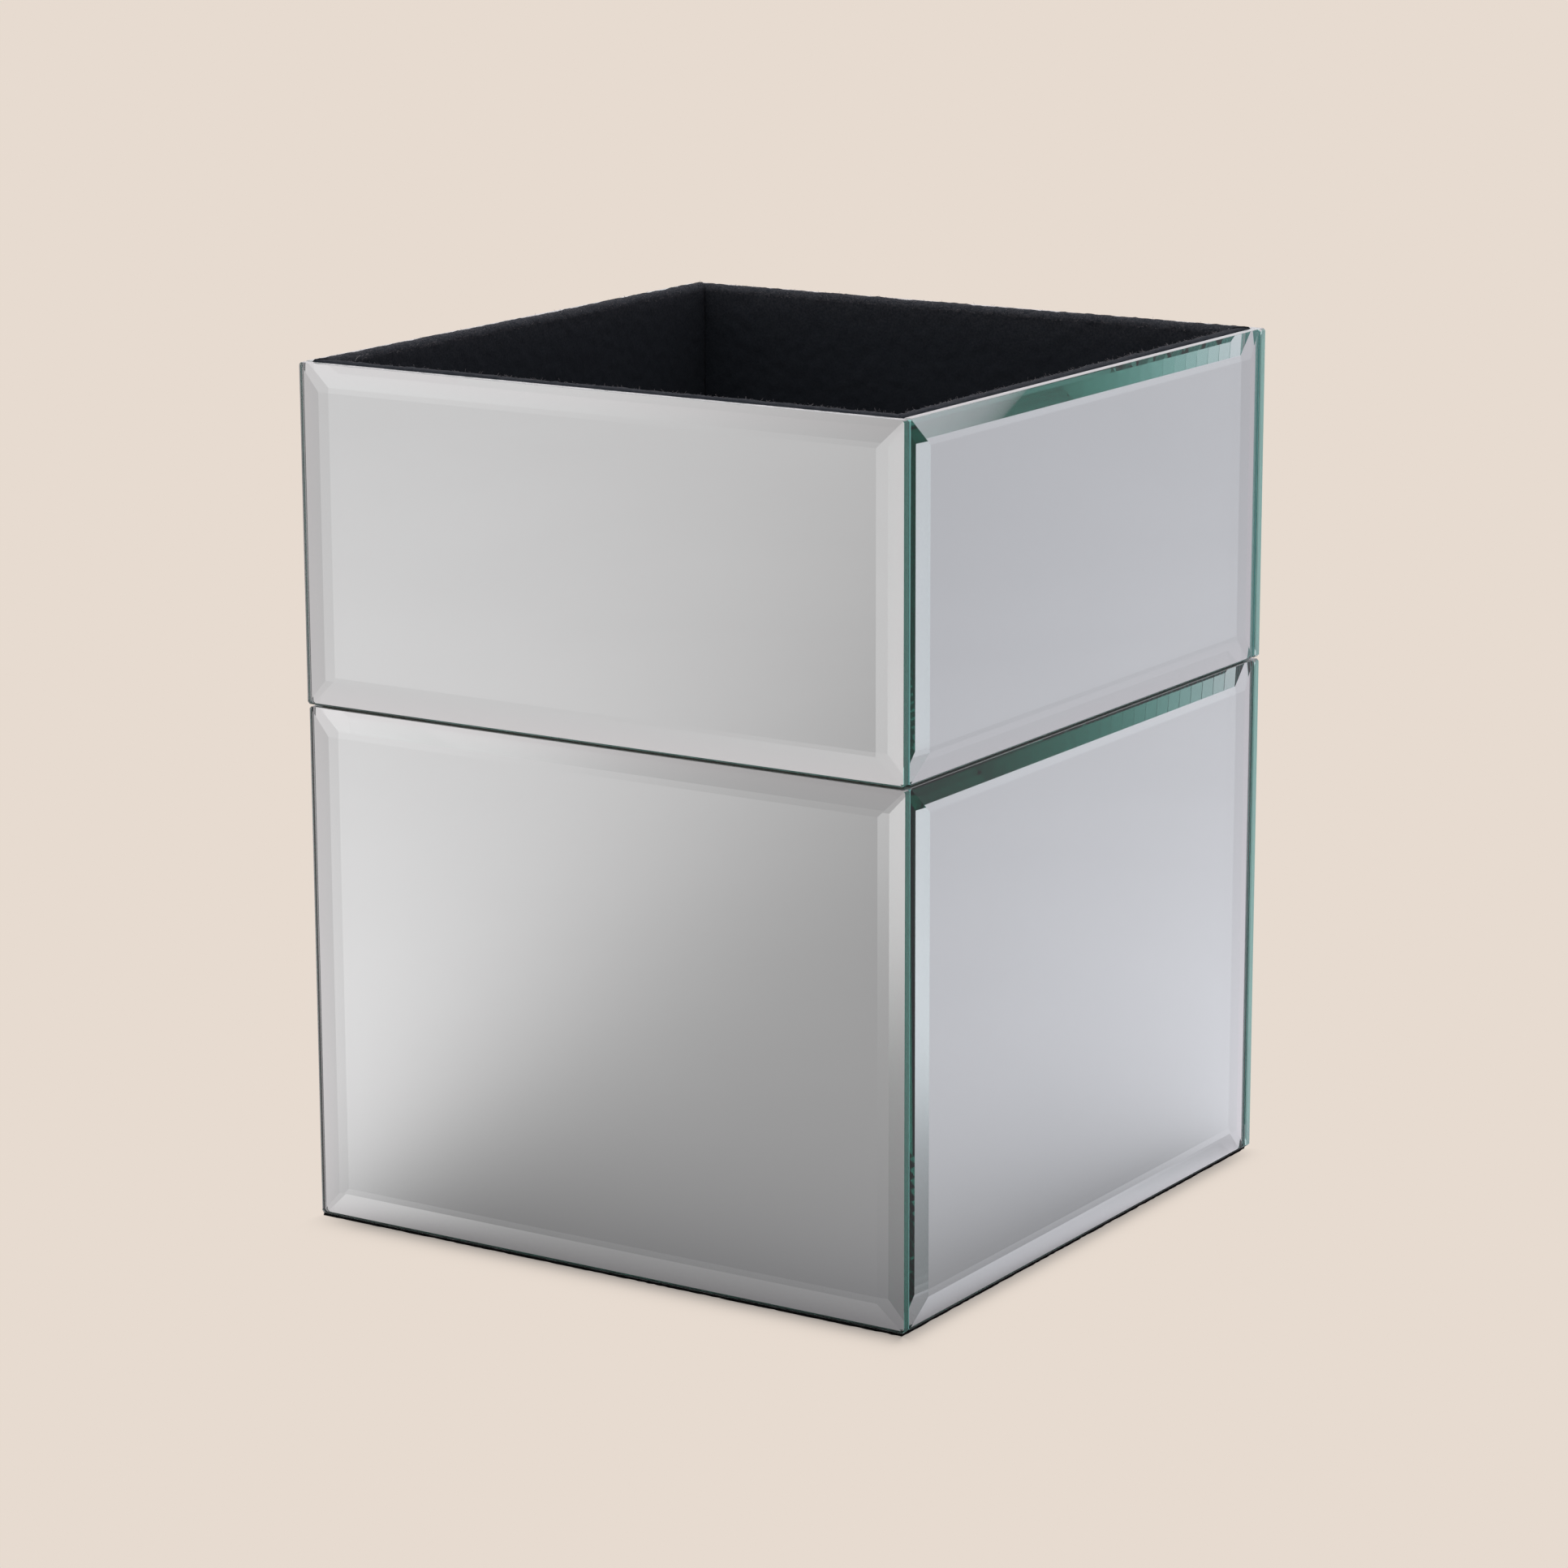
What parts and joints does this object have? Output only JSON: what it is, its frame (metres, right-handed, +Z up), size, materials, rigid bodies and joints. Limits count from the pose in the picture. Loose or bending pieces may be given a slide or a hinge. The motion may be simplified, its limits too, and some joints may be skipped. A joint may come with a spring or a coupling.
{
  "type": "mirrored open-top box",
  "caption": "Open-topped square box clad in stacked bevelled mirror panes, lined with black felt folded over its rim; stands free and holds pens, brushes, a candle or a plant pot.",
  "frame": {"origin": "centre of the underside of the base pad, on the surface the box stands on", "axes": "+Z up through the open top, front towards -Y, right side towards +X"},
  "size_m": [0.1218, 0.1234, 0.1518],
  "materials": {
    "mirror_glass": "polished clear float glass, faces and bevels polished, edges finely ground, faint green from the edge",
    "silvering": "silver coating seen through the glass, grey protective paint behind",
    "adhesive": "cured off-white mirror adhesive, satin",
    "board": "raw medium-density fibreboard, matt, faintly mottled",
    "lining_felt": "black short-napped felt with stray fibres",
    "pad_felt": "black needle felt, matt"
  },
  "bodies": {
    "root": {"base_pad": "pad_felt", "floor_board": "board", "floor_lining": "lining_felt", "front_wall_board": "board", "front_wall_lining": "lining_felt", "front_lower_glass": "mirror_glass", "front_lower_silvering": "silvering", "front_lower_adhesive": "adhesive", "front_upper_glass": "mirror_glass", "front_upper_silvering": "silvering", "front_upper_adhesive": "adhesive", "right_wall_board": "board", "right_wall_lining": "lining_felt", "right_lower_glass": "mirror_glass", "right_lower_silvering": "silvering", "right_lower_adhesive": "adhesive", "right_upper_glass": "mirror_glass", "right_upper_silvering": "silvering", "right_upper_adhesive": "adhesive", "back_wall_board": "board", "back_wall_lining": "lining_felt", "back_lower_glass": "mirror_glass", "back_lower_silvering": "silvering", "back_lower_adhesive": "adhesive", "back_upper_glass": "mirror_glass", "back_upper_silvering": "silvering", "back_upper_adhesive": "adhesive", "left_wall_board": "board", "left_wall_lining": "lining_felt", "left_lower_glass": "mirror_glass", "left_lower_silvering": "silvering", "left_lower_adhesive": "adhesive", "left_upper_glass": "mirror_glass", "left_upper_silvering": "silvering", "left_upper_adhesive": "adhesive"}
  },
  "joints": []
}
